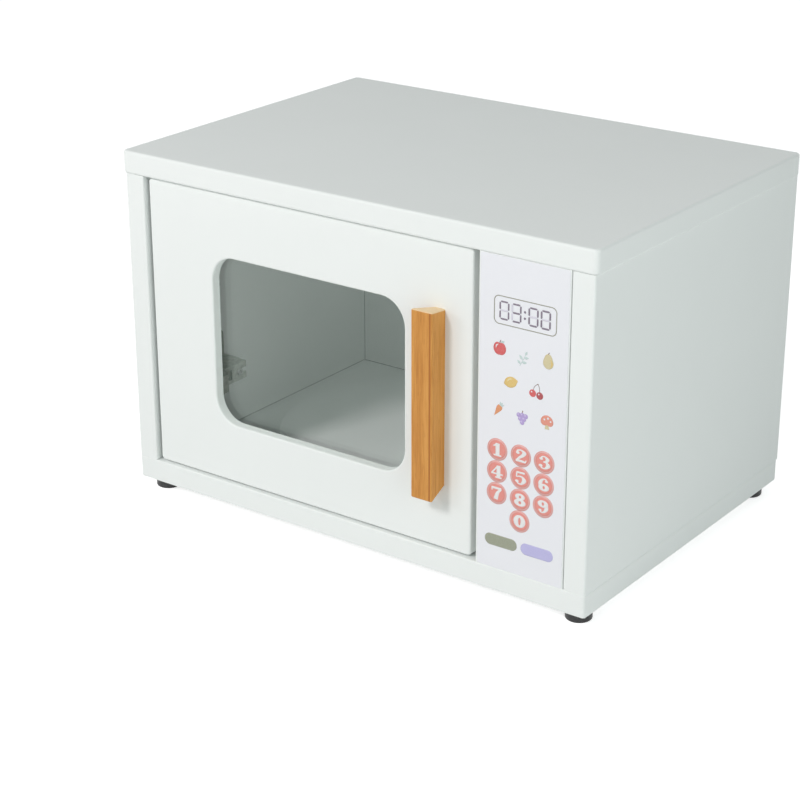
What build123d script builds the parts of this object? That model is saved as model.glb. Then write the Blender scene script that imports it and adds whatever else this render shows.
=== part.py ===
from build123d import *
import math
import os

os.makedirs("parts", exist_ok=True)

# Millimetres, +Z up, front towards -Y. The toy stands on its feet over the origin, and the
# Y middle is that of the whole toy with its handle.

# The box and the board it is cut from.
BOX_WIDTH = 420.0
BOX_DEPTH = 295.0
BOX_HEIGHT = 272.0
BOARD = 18.0
FOOT_HEIGHT = 10.0
HANDLE_REACH = 13.0

# Faces of the box that everything else is measured from.
LEFT = -BOX_WIDTH / 2
RIGHT = BOX_WIDTH / 2
FRONT = (HANDLE_REACH - BOX_DEPTH) / 2
BACK = FRONT + BOX_DEPTH
BOTTOM = FOOT_HEIGHT
TOP = BOTTOM + BOX_HEIGHT
FLOOR = BOTTOM + BOARD
CEILING = TOP - BOARD
INNER_LEFT = LEFT + BOARD
INNER_RIGHT = RIGHT - BOARD

# Board edges: how far the top stands proud, how much each edge is rounded, and the bevel that
# leaves a fine seam where boards meet inside.
TOP_OVERHANG = 2.0
TOP_FRONT_LIP = 1.0
TOP_CORNER = 4.5
TOP_EDGE = 2.0
BASE_CORNER = 2.5
BASE_EDGE = 1.0
SIDE_OUTER_EDGE = 2.0
SIDE_INNER_EDGE = 1.0
PANEL_EDGE = 0.6
SEAM_BEVEL = 0.7

# Door: gaps round it, how deep it sits, and its window.
DOOR_GAP_LEFT = 3.0
DOOR_GAP_RIGHT = 6.5
DOOR_GAP_Z = 1.2
DOOR_WIDTH = 300.0
DOOR_SETBACK = 3.0
DOOR_CORNER = 3.0
DOOR_EDGE = 1.5
WINDOW_WIDTH = 180.0
WINDOW_HEIGHT = 136.0
WINDOW_CORNER = 21.0
WINDOW_RIGHT_OF_MIDDLE = 1.0
WINDOW_BELOW_MIDDLE = 1.0
PANE_THICKNESS = 3.0
PANE_MARGIN = 11.0
PANE_GAP = 0.5
PANE_SETBACK = 8.0
PANE_CORNER = 8.0

DOOR_LEFT = INNER_LEFT + DOOR_GAP_LEFT
DOOR_RIGHT = DOOR_LEFT + DOOR_WIDTH
DOOR_BOTTOM = FLOOR + DOOR_GAP_Z
DOOR_TOP = CEILING - DOOR_GAP_Z
DOOR_FRONT = FRONT + DOOR_SETBACK
DOOR_BACK = DOOR_FRONT + BOARD
WINDOW_X = (DOOR_LEFT + DOOR_RIGHT) / 2 + WINDOW_RIGHT_OF_MIDDLE
WINDOW_Z = (DOOR_BOTTOM + DOOR_TOP) / 2 - WINDOW_BELOW_MIDDLE
PANE_FRONT = DOOR_FRONT + PANE_SETBACK
PANE_BACK = PANE_FRONT + PANE_THICKNESS

# Control panel board, its printed film, and the partition that stands behind the gap.
PANEL_GAP_RIGHT = 0.7
FILM_THICKNESS = 0.3
FILM_MARGIN_LEFT = 1.4
FILM_MARGIN_RIGHT = 0.9
FILM_MARGIN_Z = 0.4
FILM_CORNER = 1.0
PANEL_LEFT = DOOR_RIGHT + DOOR_GAP_RIGHT
PANEL_RIGHT = INNER_RIGHT - PANEL_GAP_RIGHT
PANEL_FRONT = FRONT + FILM_THICKNESS
PARTITION_RIGHT = PANEL_LEFT
PARTITION_LEFT = PARTITION_RIGHT - BOARD
BUMPER_RADIUS = 4.0
BUMPER_THICKNESS = 2.0
BUMPER_GAP = 0.2
BUMPER_FROM_ENDS = 32.0
PARTITION_FRONT = DOOR_BACK + BUMPER_GAP + BUMPER_THICKNESS
BACK_BOARD_FRONT = BACK - BOARD

# Handle: a square bar whose left side and ends slant in towards the door.
HANDLE_WIDTH = 19.3
HANDLE_FOOT = 9.6
HANDLE_INSET = 23.4
HANDLE_LENGTH = 145.4
HANDLE_ABOVE_DOOR_BOTTOM = 41.4
HANDLE_UNDERCUT_BOTTOM = 8.0
HANDLE_UNDERCUT_TOP = 1.6
HANDLE_EDGE = 1.3
HANDLE_RIGHT = DOOR_RIGHT - HANDLE_INSET
HANDLE_LEFT = HANDLE_RIGHT - HANDLE_WIDTH
HANDLE_FRONT = FRONT - HANDLE_REACH
HANDLE_BOTTOM = DOOR_BOTTOM + HANDLE_ABOVE_DOOR_BOTTOM
HANDLE_TOP = HANDLE_BOTTOM + HANDLE_LENGTH

# Turntable on a washer and one screw.
TURNTABLE_RADIUS = 112.5
TURNTABLE_THICKNESS = 6.0
TURNTABLE_BEHIND_FRONT = 155.0
TURNTABLE_LIFT = 6.0
TURNTABLE_EDGE = 1.2
RECESS_RADIUS = 6.5
RECESS_DEPTH = 2.8
WASHER_RADIUS = 16.0
WASHER_GAP = 0.3
BUSH_RADIUS = 5.0
PIVOT_HEAD_RADIUS = 5.0
PIVOT_HEAD_HEIGHT = 2.4
PIVOT_RADIUS = 2.5
PIVOT_PLAY = 0.2
PIVOT_IN_BASE = 12.0
PIVOT = ((INNER_LEFT + PARTITION_LEFT) / 2, FRONT + TURNTABLE_BEHIND_FRONT)
TURNTABLE_BOTTOM = FLOOR + TURNTABLE_LIFT
TURNTABLE_TOP = TURNTABLE_BOTTOM + TURNTABLE_THICKNESS

# Feet.
FOOT_RADIUS = 10.0
FOOT_FROM_SIDE = 14.5
FOOT_FROM_FRONT = 17.0
FOOT_EDGE = 1.5
FOOT_POCKET_RADIUS = 4.6
FOOT_POCKET_DEPTH = 4.0

# Dowels that join the uprights to the top and the base.
DOWEL_RADIUS = 4.0
DOWEL_LENGTH = 28.0
DOWEL_IN_FLAT = 12.0
DOWEL_IN_UPRIGHT = DOWEL_LENGTH - DOWEL_IN_FLAT
SIDE_DOWELS_FROM_ENDS = (45.0, 60.0)
PARTITION_DOWELS_FROM_ENDS = (40.0, 72.0)
PANEL_DOWEL_SPACING = 44.0
BACK_DOWEL_FROM_SIDE = 110.0

# Play of a turning fit, and of a screw, dowel or pin in the hole that holds it.
RUNNING = 0.05
HOLE_EASE = 0.05

# Concealed hinges. Points are right of the box's left face and behind its front face, with
# the door shut: two pins in the cup, two in the arm, and where each link bends between them.
HINGE_FROM_ENDS = 59.0
CUP_PIN_FORK = (29.6, 16.4)
CUP_PIN_CENTRE = (32.3, 12.7)
ARM_PIN_FORK = (39.8, 44.7)
ARM_PIN_CENTRE = (47.8, 45.0)
BEND_FORK = (46.3, 10.6)
BEND_CENTRE = (44.0, 10.5)
BEND_RADIUS = 5.0
LINK_THICKNESS = 2.6
EYE_RADIUS = 2.1
PIN_RADIUS = 1.0
SLOT_TRAVEL = 3.0
SLOT_RADIUS = 1.5
SLOT_WALL = 0.8
CENTRE_HALF = 2.9
FORK_INNER = 3.2
FORK_OUTER = 5.8

# Hinge cup, sunk in the door's back.
CUP_FROM_DOOR_EDGE = 21.5
CUP_RADIUS = 17.5
CUP_DEPTH = 13.0
CUP_FLOOR = 0.8
CUP_SIDE = 0.5
CUP_POCKET_HALF = 8.2
CUP_FLANGE_RADIUS = 19.0
CUP_FLANGE = 0.8
CUP_EAR_SHIFT = 9.5
CUP_EAR_WIDTH = 12.0
CUP_EAR_SPAN = 57.0
CUP_SCREW_SPACING = 45.0
CUP_PIN_LENGTH = 20.0
CUP_X = DOOR_LEFT + CUP_FROM_DOOR_EDGE

# Hinge mounting plate on the left side board, and the arm that stands on it.
PLATE_FRONT = 53.0
PLATE_REAR = 84.0
PLATE_HALF = 7.4
PLATE_HEIGHT = 18.0
WING_FRONT = 71.5
WING_REAR = 83.5
WING_SPAN = 58.0
WING_THICKNESS = 2.0
WING_SCREW_SPACING = 42.0
ARM_REAR = 83.0
ARM_CRANK = 56.0
ARM_HEIGHT = 26.0
ARM_SHEET = 1.4
ARM_HALF = 7.4
ARM_NOSE = 5.8
ARM_SHOULDER = 5.0
ARM_TIP = 4.0
ARM_WINDOW_FRONT = 57.0
ARM_WINDOW_REAR = 65.4
ARM_WINDOW_HALF = 4.3
ADJUSTING_SCREW = 61.2
LOCKING_SCREW = 74.5
ARM_PIN_HEAD_RADIUS = 1.7
ARM_PIN_HEAD = 0.6

# Screws: head radius, head height, shank radius and length under the head.
PANE_SCREW = (2.7, 1.4, 1.4, 7.0)
HANDLE_SCREW = (3.8, 2.4, 1.8, 25.0)
FOOT_SCREW = (4.0, 2.5, 2.0, 20.0)
CUP_SCREW = (3.2, 1.8, 1.6, 11.0)
WING_SCREW = (3.4, 2.0, 1.8, 14.0)
ARM_SCREW = (3.2, 1.6, 2.0, 14.0)
HANDLE_SCREW_SINK = 3.0
HANDLE_SCREW_FROM_ENDS = (25.0, 26.0)
PANE_SCREW_SPACING = (120.0, 80.0)
HEAD_EASE = 0.4
HEAD_TAPER = 18.0
CROSS_WIDTH = 0.28
CROSS_DEPTH = 0.5


def near(point):
    """A hinge point, measured from the box's left and front faces, in the toy's own place."""
    return (LEFT + point[0], FRONT + point[1])


def facing(points, normal):
    """One plane at each point, all facing the same way."""
    return [Plane(origin=point, z_dir=normal) for point in points]


def block(x, y, z):
    """A square block between pairs of X, Y and Z, in the open part."""
    with Locations(((x[0] + x[1]) / 2, (y[0] + y[1]) / 2, (z[0] + z[1]) / 2)):
        Box(x[1] - x[0], y[1] - y[0], z[1] - z[0])


def drill(planes, radius, depth):
    """Round blind holes into the open part, one from each plane."""
    for plane in planes:
        with BuildSketch(plane) as hole:
            Circle(radius)
        extrude(hole.sketch, amount=-depth, mode=Mode.SUBTRACT)


def screws(planes, size):
    """Pan head screws with a cross recess, each seated on its plane."""
    head_radius, head_height, shank_radius, length = size
    for plane in planes:
        with BuildSketch(plane) as head:
            Circle(head_radius)
        extrude(head.sketch, amount=head_height, taper=HEAD_TAPER)
        with BuildSketch(plane) as shank:
            Circle(shank_radius)
        extrude(shank.sketch, amount=-length)
        with BuildSketch(plane.offset(head_height)) as cross:
            Rectangle(head_radius, head_radius * CROSS_WIDTH)
            Rectangle(head_radius * CROSS_WIDTH, head_radius)
        extrude(cross.sketch, amount=-head_height * CROSS_DEPTH, mode=Mode.SUBTRACT)


def screw_holes(planes, size, skipped):
    """Holes for screws seated on these planes, in the open part, which starts that far below."""
    drill([plane.offset(-skipped) for plane in planes], size[2] + HOLE_EASE, size[3] - skipped)


def dowel_holes(spots, z, outward, depth):
    """Holes for dowels in the face of the open board at height z, which looks up (1) or down (-1)."""
    drill(facing([(x, y, z) for x, y in spots], (0, 0, outward)), DOWEL_RADIUS + HOLE_EASE, depth)


def end_holes(spots):
    """Holes for the dowels in the lower and upper ends of the open upright."""
    dowel_holes(spots, FLOOR, -1, DOWEL_IN_UPRIGHT)
    dowel_holes(spots, CEILING, 1, DOWEL_IN_UPRIGHT)


def round_uprights(left_radius, right_radius):
    """Rounds the left and the right upright edge on the front of the open board."""
    for side, radius in ((0, left_radius), (-1, right_radius)):
        front_edges = edges().filter_by(Axis.Z).group_by(Axis.Y)[0].sort_by(Axis.X)
        fillet(front_edges[side], radius)


def bevel_seams(inner_face):
    """Bevels the lower and upper edges of the open board's face that looks into the cavity."""
    level_edges = inner_face.edges().group_by(Axis.Z)
    chamfer(level_edges[0] + level_edges[-1], SEAM_BEVEL)


def save(piece, name):
    """Labels a finished piece and writes it to the file of its node."""
    piece.part.label = name
    export_step(piece.part, f"parts/{name}.step")


# Where the dowels stand in each upright.
SIDE_DOWELS_Y = (FRONT + SIDE_DOWELS_FROM_ENDS[0], BACK - SIDE_DOWELS_FROM_ENDS[1])
PARTITION_DOWELS_Y = (
    PARTITION_FRONT + PARTITION_DOWELS_FROM_ENDS[0],
    BACK_BOARD_FRONT - PARTITION_DOWELS_FROM_ENDS[1],
)
PARTITION_MIDDLE = (PARTITION_LEFT + PARTITION_RIGHT) / 2
PANEL_MIDDLE = (PANEL_LEFT + PANEL_RIGHT) / 2
LEFT_DOWELS = [(LEFT + BOARD / 2, y) for y in SIDE_DOWELS_Y]
RIGHT_DOWELS = [(RIGHT - BOARD / 2, y) for y in SIDE_DOWELS_Y]
PARTITION_DOWELS = [(PARTITION_MIDDLE, y) for y in PARTITION_DOWELS_Y]
PANEL_DOWELS = [(PANEL_MIDDLE + side * PANEL_DOWEL_SPACING / 2, PANEL_FRONT + BOARD / 2) for side in (-1, 1)]
BACK_DOWELS = [(side * (RIGHT - BACK_DOWEL_FROM_SIDE), BACK - BOARD / 2) for side in (-1, 1)]
ALL_DOWELS = LEFT_DOWELS + RIGHT_DOWELS + PARTITION_DOWELS + PANEL_DOWELS + BACK_DOWELS

# Where the screws stand.
FOOT_X = RIGHT - FOOT_FROM_SIDE
FOOT_Y_FRONT = FRONT + FOOT_FROM_FRONT
FOOT_Y_BACK = BACK - FOOT_FROM_FRONT
FEET = {
    "front_left_foot": (-FOOT_X, FOOT_Y_FRONT),
    "front_right_foot": (FOOT_X, FOOT_Y_FRONT),
    "back_left_foot": (-FOOT_X, FOOT_Y_BACK),
    "back_right_foot": (FOOT_X, FOOT_Y_BACK),
}
FOOT_SCREWS = facing([(x, y, FOOT_POCKET_DEPTH) for x, y in FEET.values()], (0, 0, -1))
HINGES = {"lower": FLOOR + HINGE_FROM_ENDS, "upper": CEILING - HINGE_FROM_ENDS}
WING_MIDDLE = FRONT + (WING_FRONT + WING_REAR) / 2
WING_SCREWS = facing(
    [
        (INNER_LEFT + WING_THICKNESS, WING_MIDDLE, z + side * WING_SCREW_SPACING / 2)
        for z in HINGES.values()
        for side in (-1, 1)
    ],
    (1, 0, 0),
)
ARM_SCREW_SEATS = facing(
    [
        (INNER_LEFT + height, FRONT + y, z)
        for z in HINGES.values()
        for height, y in ((PLATE_HEIGHT, ADJUSTING_SCREW), (ARM_HEIGHT, LOCKING_SCREW))
    ],
    (1, 0, 0),
)
CUP_SCREWS = facing(
    [
        (CUP_X + CUP_EAR_SHIFT, DOOR_BACK + CUP_FLANGE, z + side * CUP_SCREW_SPACING / 2)
        for z in HINGES.values()
        for side in (-1, 1)
    ],
    (0, 1, 0),
)
HANDLE_SCREW_X = HANDLE_RIGHT - HANDLE_FOOT / 2
HANDLE_SCREW_Z = (HANDLE_BOTTOM + HANDLE_SCREW_FROM_ENDS[0], HANDLE_TOP - HANDLE_SCREW_FROM_ENDS[1])
HANDLE_SCREW_Y = DOOR_BACK - HANDLE_SCREW_SINK
HANDLE_SCREWS = facing([(HANDLE_SCREW_X, HANDLE_SCREW_Y, z) for z in HANDLE_SCREW_Z], (0, 1, 0))
PANE_SCREW_PAIRS = [
    (PANE_SCREW_SPACING[0] / 2, (WINDOW_HEIGHT + PANE_MARGIN) / 2),
    ((WINDOW_WIDTH + PANE_MARGIN) / 2, PANE_SCREW_SPACING[1] / 2),
]
PANE_SCREWS = facing(
    [
        (WINDOW_X + right * x, PANE_BACK, WINDOW_Z + up * z)
        for x, z in PANE_SCREW_PAIRS
        for right in (-1, 1)
        for up in (-1, 1)
    ],
    (0, 1, 0),
)


# Top board, a little wider than the box.
with BuildPart() as top_board:
    with BuildSketch(Plane.XY.offset(CEILING)):
        with Locations((0, (FRONT - TOP_FRONT_LIP + BACK) / 2)):
            RectangleRounded(BOX_WIDTH + 2 * TOP_OVERHANG, BOX_DEPTH + TOP_FRONT_LIP, TOP_CORNER)
    extrude(amount=BOARD)
    fillet(top_board.faces().sort_by(Axis.Z)[-1].edges(), TOP_EDGE)
    fillet(top_board.faces().sort_by(Axis.Z)[0].edges(), TOP_EDGE)
    dowel_holes(ALL_DOWELS, CEILING, -1, DOWEL_IN_FLAT)
save(top_board, "top_board")

# Base board, flush with the sides.
with BuildPart() as base_board:
    with BuildSketch(Plane.XY.offset(BOTTOM)):
        with Locations((0, (FRONT + BACK) / 2)):
            RectangleRounded(BOX_WIDTH, BOX_DEPTH, BASE_CORNER)
    extrude(amount=BOARD)
    fillet(base_board.faces().sort_by(Axis.Z)[-1].edges(), BASE_EDGE)
    fillet(base_board.faces().sort_by(Axis.Z)[0].edges(), BASE_EDGE)
    dowel_holes(ALL_DOWELS, FLOOR, 1, DOWEL_IN_FLAT)
    screw_holes(FOOT_SCREWS, FOOT_SCREW, FOOT_HEIGHT - FOOT_POCKET_DEPTH)
    drill(facing([(*PIVOT, FLOOR)], (0, 0, 1)), PIVOT_RADIUS + HOLE_EASE, PIVOT_IN_BASE)
save(base_board, "base_board")

# Left side board, with the holes for the hinge plate screws.
with BuildPart() as left_side_board:
    block((LEFT, INNER_LEFT), (FRONT, BACK), (FLOOR, CEILING))
    bevel_seams(faces().sort_by(Axis.X)[-1])
    round_uprights(SIDE_OUTER_EDGE, SIDE_INNER_EDGE)
    end_holes(LEFT_DOWELS)
    screw_holes(WING_SCREWS, WING_SCREW, WING_THICKNESS)
save(left_side_board, "left_side_board")

# Right side board.
with BuildPart() as right_side_board:
    block((INNER_RIGHT, RIGHT), (FRONT, BACK), (FLOOR, CEILING))
    bevel_seams(faces().sort_by(Axis.X)[0])
    round_uprights(SIDE_INNER_EDGE, SIDE_OUTER_EDGE)
    end_holes(RIGHT_DOWELS)
save(right_side_board, "right_side_board")

# Back board, between the sides.
with BuildPart() as back_board:
    block((INNER_LEFT, INNER_RIGHT), (BACK_BOARD_FRONT, BACK), (FLOOR, CEILING))
    chamfer(faces().sort_by(Axis.Y)[0].edges(), SEAM_BEVEL)
    end_holes(BACK_DOWELS)
save(back_board, "back_board")

# Partition: the cavity's right wall, and what the door shuts against.
with BuildPart() as inner_partition:
    block((PARTITION_LEFT, PARTITION_RIGHT), (PARTITION_FRONT, BACK_BOARD_FRONT), (FLOOR, CEILING))
    bevel_seams(faces().sort_by(Axis.X)[0])
    end_holes(PARTITION_DOWELS)
save(inner_partition, "inner_partition")

# Control panel board, right of the door.
with BuildPart() as control_panel_board:
    block((PANEL_LEFT, PANEL_RIGHT), (PANEL_FRONT, PANEL_FRONT + BOARD), (FLOOR, CEILING))
    round_uprights(PANEL_EDGE, PANEL_EDGE)
    end_holes(PANEL_DOWELS)
save(control_panel_board, "control_panel_board")

# Printed film stuck on the control panel board.
FILM_LEFT = PANEL_LEFT + FILM_MARGIN_LEFT
FILM_RIGHT = PANEL_RIGHT - FILM_MARGIN_RIGHT
FILM_HEIGHT = CEILING - FLOOR - 2 * FILM_MARGIN_Z
with BuildPart() as control_panel_film:
    with BuildSketch(Plane.XZ.offset(-FRONT)):
        with Locations(((FILM_LEFT + FILM_RIGHT) / 2, (FLOOR + CEILING) / 2)):
            RectangleRounded(FILM_RIGHT - FILM_LEFT, FILM_HEIGHT, FILM_CORNER)
    extrude(amount=-FILM_THICKNESS)
save(control_panel_film, "control_panel_film")

# Dowels in all the joints.
with BuildPart() as board_dowels:
    for low in (FLOOR - DOWEL_IN_FLAT, CEILING - DOWEL_IN_UPRIGHT):
        with BuildSketch(Plane.XY.offset(low)):
            with Locations(*ALL_DOWELS):
                Circle(DOWEL_RADIUS)
        extrude(amount=DOWEL_LENGTH)
save(board_dowels, "board_dowels")

# Soft pads that the shut door rests against.
BUMPER_X = (PARTITION_LEFT + DOOR_RIGHT) / 2
with BuildPart() as door_bumpers:
    with BuildSketch(Plane.XZ.offset(-PARTITION_FRONT)):
        with Locations((BUMPER_X, FLOOR + BUMPER_FROM_ENDS), (BUMPER_X, CEILING - BUMPER_FROM_ENDS)):
            Circle(BUMPER_RADIUS)
    extrude(amount=BUMPER_THICKNESS)
save(door_bumpers, "door_bumpers")

# Feet, each with a pocket for its screw.
for name, (x, y) in FEET.items():
    with BuildPart() as foot:
        with BuildSketch():
            with Locations((x, y)):
                Circle(FOOT_RADIUS)
        extrude(amount=FOOT_HEIGHT)
        fillet(foot.faces().sort_by(Axis.Z)[0].edges(), FOOT_EDGE)
        drill(facing([(x, y, 0)], (0, 0, -1)), FOOT_POCKET_RADIUS, FOOT_POCKET_DEPTH)
        drill(facing([(x, y, 0)], (0, 0, -1)), FOOT_SCREW[2] + HOLE_EASE, FOOT_HEIGHT)
    save(foot, name)

with BuildPart() as foot_screws:
    screws(FOOT_SCREWS, FOOT_SCREW)
save(foot_screws, "foot_screws")

# Door board: window, rebate for the pane, and holes for the cups and screws.
with BuildPart() as door_board:
    with BuildSketch(Plane.XZ.offset(-DOOR_FRONT)):
        with Locations(((DOOR_LEFT + DOOR_RIGHT) / 2, (DOOR_BOTTOM + DOOR_TOP) / 2)):
            RectangleRounded(DOOR_WIDTH, DOOR_TOP - DOOR_BOTTOM, DOOR_CORNER)
        with Locations((WINDOW_X, WINDOW_Z)):
            RectangleRounded(WINDOW_WIDTH, WINDOW_HEIGHT, WINDOW_CORNER, mode=Mode.SUBTRACT)
    extrude(amount=-BOARD)
    fillet(door_board.faces().sort_by(Axis.Y)[0].edges(), DOOR_EDGE)
    with BuildSketch(Plane.XZ.offset(-DOOR_BACK)):
        with Locations((WINDOW_X, WINDOW_Z)):
            RectangleRounded(
                WINDOW_WIDTH + 2 * (PANE_MARGIN + PANE_GAP),
                WINDOW_HEIGHT + 2 * (PANE_MARGIN + PANE_GAP),
                PANE_CORNER + PANE_GAP,
            )
    extrude(amount=DOOR_BACK - PANE_FRONT, mode=Mode.SUBTRACT)
    cup_seats = facing([(CUP_X, DOOR_BACK, z) for z in HINGES.values()], (0, 1, 0))
    drill(cup_seats, CUP_RADIUS + HOLE_EASE, CUP_DEPTH + HOLE_EASE)
    screw_holes(CUP_SCREWS, CUP_SCREW, CUP_FLANGE)
    screw_holes(PANE_SCREWS, PANE_SCREW, PANE_THICKNESS)
    screw_holes(HANDLE_SCREWS, HANDLE_SCREW, 0)
    handle_sinks = [plane.offset(HANDLE_SCREW_SINK) for plane in HANDLE_SCREWS]
    drill(handle_sinks, HANDLE_SCREW[0] + HEAD_EASE, HANDLE_SCREW_SINK)
save(door_board, "door_board")

# Clear pane, held in the rebate by eight small screws.
with BuildPart() as window_pane:
    with BuildSketch(Plane.XZ.offset(-PANE_BACK)):
        with Locations((WINDOW_X, WINDOW_Z)):
            RectangleRounded(WINDOW_WIDTH + 2 * PANE_MARGIN, WINDOW_HEIGHT + 2 * PANE_MARGIN, PANE_CORNER)
    extrude(amount=PANE_THICKNESS)
    drill(PANE_SCREWS, PANE_SCREW[2] + HOLE_EASE, PANE_THICKNESS)
save(window_pane, "window_pane")

with BuildPart() as pane_screws:
    screws(PANE_SCREWS, PANE_SCREW)
save(pane_screws, "pane_screws")

# Handle, a tapered bar screwed on from the door's back.
with BuildPart() as door_handle:
    with BuildSketch(Plane.XY.offset(HANDLE_BOTTOM)):
        with BuildLine():
            Polyline(
                (HANDLE_LEFT, HANDLE_FRONT),
                (HANDLE_RIGHT, HANDLE_FRONT),
                (HANDLE_RIGHT, DOOR_FRONT),
                (HANDLE_RIGHT - HANDLE_FOOT, DOOR_FRONT),
                close=True,
            )
        make_face()
    extrude(amount=HANDLE_LENGTH)
    with BuildSketch(Plane.YZ.offset(HANDLE_LEFT)):
        with BuildLine():
            Polyline(
                (HANDLE_FRONT, HANDLE_BOTTOM),
                (DOOR_FRONT, HANDLE_BOTTOM + HANDLE_UNDERCUT_BOTTOM),
                (DOOR_FRONT, HANDLE_TOP - HANDLE_UNDERCUT_TOP),
                (HANDLE_FRONT, HANDLE_TOP),
                close=True,
            )
        make_face()
    extrude(amount=HANDLE_WIDTH, mode=Mode.INTERSECT)
    handle_foot = door_handle.faces().sort_by(Axis.Y)[-1]
    fillet(door_handle.edges() - handle_foot.edges(), HANDLE_EDGE)
    screw_holes(HANDLE_SCREWS, HANDLE_SCREW, BOARD - HANDLE_SCREW_SINK)
save(door_handle, "door_handle")

with BuildPart() as handle_screws:
    screws(HANDLE_SCREWS, HANDLE_SCREW)
save(handle_screws, "handle_screws")

# Turntable: plate with a pressed bush, a washer under it and a pivot screw through both.
with BuildPart() as turntable_plate:
    with BuildSketch(Plane.XY.offset(TURNTABLE_BOTTOM)):
        with Locations(PIVOT):
            Circle(TURNTABLE_RADIUS)
    extrude(amount=TURNTABLE_THICKNESS)
    fillet(turntable_plate.faces().sort_by(Axis.Z)[-1].edges(), TURNTABLE_EDGE)
    fillet(turntable_plate.faces().sort_by(Axis.Z)[0].edges(), TURNTABLE_EDGE)
    turntable_centre = facing([(*PIVOT, TURNTABLE_TOP)], (0, 0, 1))
    drill(turntable_centre, RECESS_RADIUS, RECESS_DEPTH)
    drill(turntable_centre, BUSH_RADIUS, TURNTABLE_THICKNESS)
save(turntable_plate, "turntable_plate")

with BuildPart() as turntable_bush:
    with BuildSketch(Plane.XY.offset(TURNTABLE_BOTTOM)):
        with Locations(PIVOT):
            Circle(BUSH_RADIUS)
            Circle(PIVOT_RADIUS + RUNNING, mode=Mode.SUBTRACT)
    extrude(amount=TURNTABLE_THICKNESS - RECESS_DEPTH)
save(turntable_bush, "turntable_bush")

with BuildPart() as turntable_washer:
    with BuildSketch(Plane.XY.offset(FLOOR)):
        with Locations(PIVOT):
            Circle(WASHER_RADIUS)
            Circle(PIVOT_RADIUS + HOLE_EASE, mode=Mode.SUBTRACT)
    extrude(amount=TURNTABLE_LIFT - WASHER_GAP)
save(turntable_washer, "turntable_washer")

pivot_seat = TURNTABLE_TOP - RECESS_DEPTH + PIVOT_PLAY
pivot_size = (PIVOT_HEAD_RADIUS, PIVOT_HEAD_HEIGHT, PIVOT_RADIUS, pivot_seat - FLOOR + PIVOT_IN_BASE)
with BuildPart() as turntable_pivot_screw:
    screws(facing([(*PIVOT, pivot_seat)], (0, 0, 1)), pivot_size)
save(turntable_pivot_screw, "turntable_pivot_screw")

# Hinge cups: a flanged cup with a pocket that both links swing in.
CUP_PINS = [near(CUP_PIN_FORK), near(CUP_PIN_CENTRE)]
ARM_PINS = [near(ARM_PIN_FORK), near(ARM_PIN_CENTRE)]
for hinge, z in HINGES.items():
    seat = Plane(origin=(CUP_X, DOOR_BACK, z), x_dir=(1, 0, 0), z_dir=(0, 1, 0))
    with BuildPart() as hinge_cup:
        with BuildSketch(seat):
            Circle(CUP_RADIUS)
        extrude(amount=-CUP_DEPTH)
        with BuildSketch(seat):
            Circle(CUP_FLANGE_RADIUS)
            with Locations((CUP_EAR_SHIFT, 0)):
                RectangleRounded(CUP_EAR_WIDTH, CUP_EAR_SPAN, CUP_EAR_WIDTH / 3)
        extrude(amount=CUP_FLANGE)
        with BuildSketch(seat.offset(CUP_FLANGE)):
            Circle(CUP_RADIUS - CUP_SIDE)
            Rectangle(2 * CUP_RADIUS, 2 * CUP_POCKET_HALF, mode=Mode.INTERSECT)
        extrude(amount=CUP_FLOOR - CUP_DEPTH - CUP_FLANGE, mode=Mode.SUBTRACT)
        with BuildSketch(Plane.XY.offset(z - CUP_PIN_LENGTH / 2)):
            with Locations(*CUP_PINS):
                Circle(PIN_RADIUS + HOLE_EASE)
        extrude(amount=CUP_PIN_LENGTH, mode=Mode.SUBTRACT)
        drill(CUP_SCREWS, CUP_SCREW[2] + HOLE_EASE, CUP_FLANGE)
    save(hinge_cup, f"{hinge}_hinge_cup")

with BuildPart() as hinge_cup_screws:
    screws(CUP_SCREWS, CUP_SCREW)
save(hinge_cup_screws, "hinge_cup_screws")

with BuildPart() as hinge_cup_pins:
    for z in HINGES.values():
        with BuildSketch(Plane.XY.offset(z - CUP_PIN_LENGTH / 2)):
            with Locations(*CUP_PINS):
                Circle(PIN_RADIUS)
        extrude(amount=CUP_PIN_LENGTH)
save(hinge_cup_pins, "hinge_cup_pins")


def hook(arm_pin, bend, cup_pin):
    """The bent bar of a link between its two pins, with an eye at the cup's end."""
    with BuildLine() as bar:
        FilletPolyline(near(arm_pin), near(bend), near(cup_pin), radius=BEND_RADIUS)
    trace(bar.line, line_width=LINK_THICKNESS)
    with Locations(near(cup_pin)):
        Circle(EYE_RADIUS)


# Fork links: two hooked cheeks joined by the tube round the arm pin.
for hinge, z in HINGES.items():
    with BuildPart() as outer_link:
        for side in (1, -1):
            with BuildSketch(Plane.XY.offset(z + side * FORK_INNER)):
                hook(ARM_PIN_FORK, BEND_FORK, CUP_PIN_FORK)
                with Locations(near(CUP_PIN_FORK)):
                    Circle(PIN_RADIUS + RUNNING, mode=Mode.SUBTRACT)
            extrude(amount=side * (FORK_OUTER - FORK_INNER))
        with BuildSketch(Plane.XY.offset(z - FORK_OUTER)):
            with Locations(near(ARM_PIN_FORK)):
                Circle(EYE_RADIUS)
        extrude(amount=2 * FORK_OUTER)
        with BuildSketch(Plane.XY.offset(z - FORK_OUTER)):
            with Locations(near(ARM_PIN_FORK)):
                Circle(PIN_RADIUS + RUNNING)
        extrude(amount=2 * FORK_OUTER, mode=Mode.SUBTRACT)
    save(outer_link, f"{hinge}_outer_link")

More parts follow.
